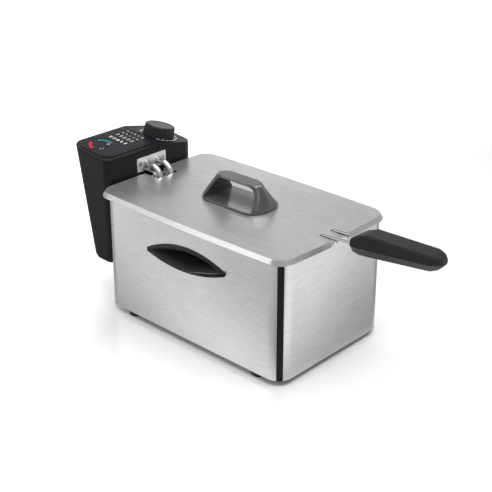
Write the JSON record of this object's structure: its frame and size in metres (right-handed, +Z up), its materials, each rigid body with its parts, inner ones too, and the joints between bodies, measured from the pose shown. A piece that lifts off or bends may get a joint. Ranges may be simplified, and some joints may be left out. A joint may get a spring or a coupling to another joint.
{
  "type": "deep fryer",
  "caption": "Brushed steel deep fryer with a lift-off lid, a wire basket on a clip-on handle, and a hook-on control unit carrying the heater and thermostat knob.",
  "frame": {"origin": "on the floor plane, under the middle of the whole fryer's bounding box", "axes": "+X from the control unit towards the end of the basket handle, +Y towards the long side next to the thermostat knob, +Z up"},
  "size_m": [0.5242, 0.1998, 0.2086],
  "materials": {
    "brushed_steel": "brushed along its length, satin",
    "plain_steel": "plain rolled sheet and bar",
    "polished_steel": "bright polished steel",
    "basket_wire": "bright chromed wire mesh",
    "zinc_screws": "bright zinc",
    "black_plastic": "fine satin texture",
    "grey_plastic": "smooth satin",
    "label_film": "printed film, semi gloss",
    "rubber_black": "matte",
    "red_lens": "translucent lens",
    "teal_lens": "translucent lens",
    "ceramic_white": "unglazed, moulded",
    "brass_pin": "turned"
  },
  "bodies": {
    "housing": {"housing_shell": "brushed_steel", "base_plate": "plain_steel", "corner_trim_left": "black_plastic", "corner_trim_right": "black_plastic", "side_grip_left": "black_plastic", "side_grip_right": "black_plastic", "foot_front_left": "rubber_black", "foot_front_right": "rubber_black", "foot_rear_left": "rubber_black", "foot_rear_right": "rubber_black", "foot_screw_1": "zinc_screws", "foot_screw_2": "zinc_screws", "foot_screw_3": "zinc_screws", "foot_screw_4": "zinc_screws", "control_rail": "plain_steel", "rail_screw_1": "zinc_screws", "rail_screw_2": "zinc_screws", "rail_screw_3": "zinc_screws", "rail_screw_4": "zinc_screws"},
    "oil_pot": {"oil_pot": "polished_steel"},
    "control_unit": {"control_housing": "black_plastic", "control_cover": "black_plastic", "control_label": "label_film", "power_lamp": "red_lens", "ready_lamp": "teal_lens", "cover_screw_1": "zinc_screws", "cover_screw_2": "zinc_screws", "cover_screw_3": "zinc_screws", "dial_ring": "label_film", "thermostat_body": "ceramic_white", "thermal_cutout": "ceramic_white", "interlock_switch": "black_plastic", "terminal_block": "ceramic_white", "cord_inlet": "rubber_black", "heater_plate": "polished_steel", "plate_screw_1": "plain_steel", "plate_screw_2": "plain_steel", "heater_collar_1": "polished_steel", "heater_collar_2": "polished_steel", "heating_element": "polished_steel", "heater_strap": "polished_steel", "sensor_capillary": "plain_steel"},
    "knob": {"knob": "black_plastic", "knob_shaft": "polished_steel"},
    "reset_button": {"reset_button": "red_lens"},
    "interlock_pin": {"interlock_pin": "brass_pin"},
    "basket": {"basket_mesh": "basket_wire", "basket_frame": "basket_wire", "basket_socket": "plain_steel"},
    "basket_handle": {"grip_upper": "black_plastic", "grip_lower": "black_plastic", "grip_screw": "zinc_screws", "prong_1": "polished_steel", "prong_2": "polished_steel"},
    "lid": {"lid_panel": "brushed_steel", "lid_handle": "grey_plastic", "lid_handle_screw_1": "zinc_screws", "lid_handle_screw_2": "zinc_screws"}
  },
  "joints": [
    {"name": "pot_lift", "type": "slide", "parent": "housing", "child": "oil_pot", "axis": [0, 0, 1], "range_m": [0, 0.14]},
    {"name": "control_lift", "type": "slide", "parent": "oil_pot", "child": "control_unit", "axis": [0, 0, 1], "range_m": [0, 0.14]},
    {"name": "basket_lift", "type": "slide", "parent": "control_unit", "child": "basket", "axis": [0, 0, 1], "range_m": [0, 0.12]},
    {"name": "lid_lift", "type": "slide", "parent": "basket", "child": "lid", "axis": [0, 0, 1], "range_m": [0, 0.06]},
    {"name": "handle_lift", "type": "slide", "parent": "basket", "child": "basket_handle", "axis": [0, 0, 1], "range_m": [0, 0.03]},
    {"name": "knob_turn", "type": "hinge", "parent": "control_unit", "child": "knob", "pos_m": [-0.21993, 0.0395, 0.18933], "axis": [0.0971, 0.2185, 0.971], "range_deg": [-270, 0]},
    {"name": "reset_press", "type": "slide", "parent": "control_unit", "child": "reset_button", "axis": [1, 0, 0], "range_m": [0, 0.002], "stiffness_N_per_m": 400},
    {"name": "interlock_press", "type": "slide", "parent": "control_unit", "child": "interlock_pin", "axis": [-1, 0, 0], "range_m": [0, 0.002], "stiffness_N_per_m": 300}
  ]
}
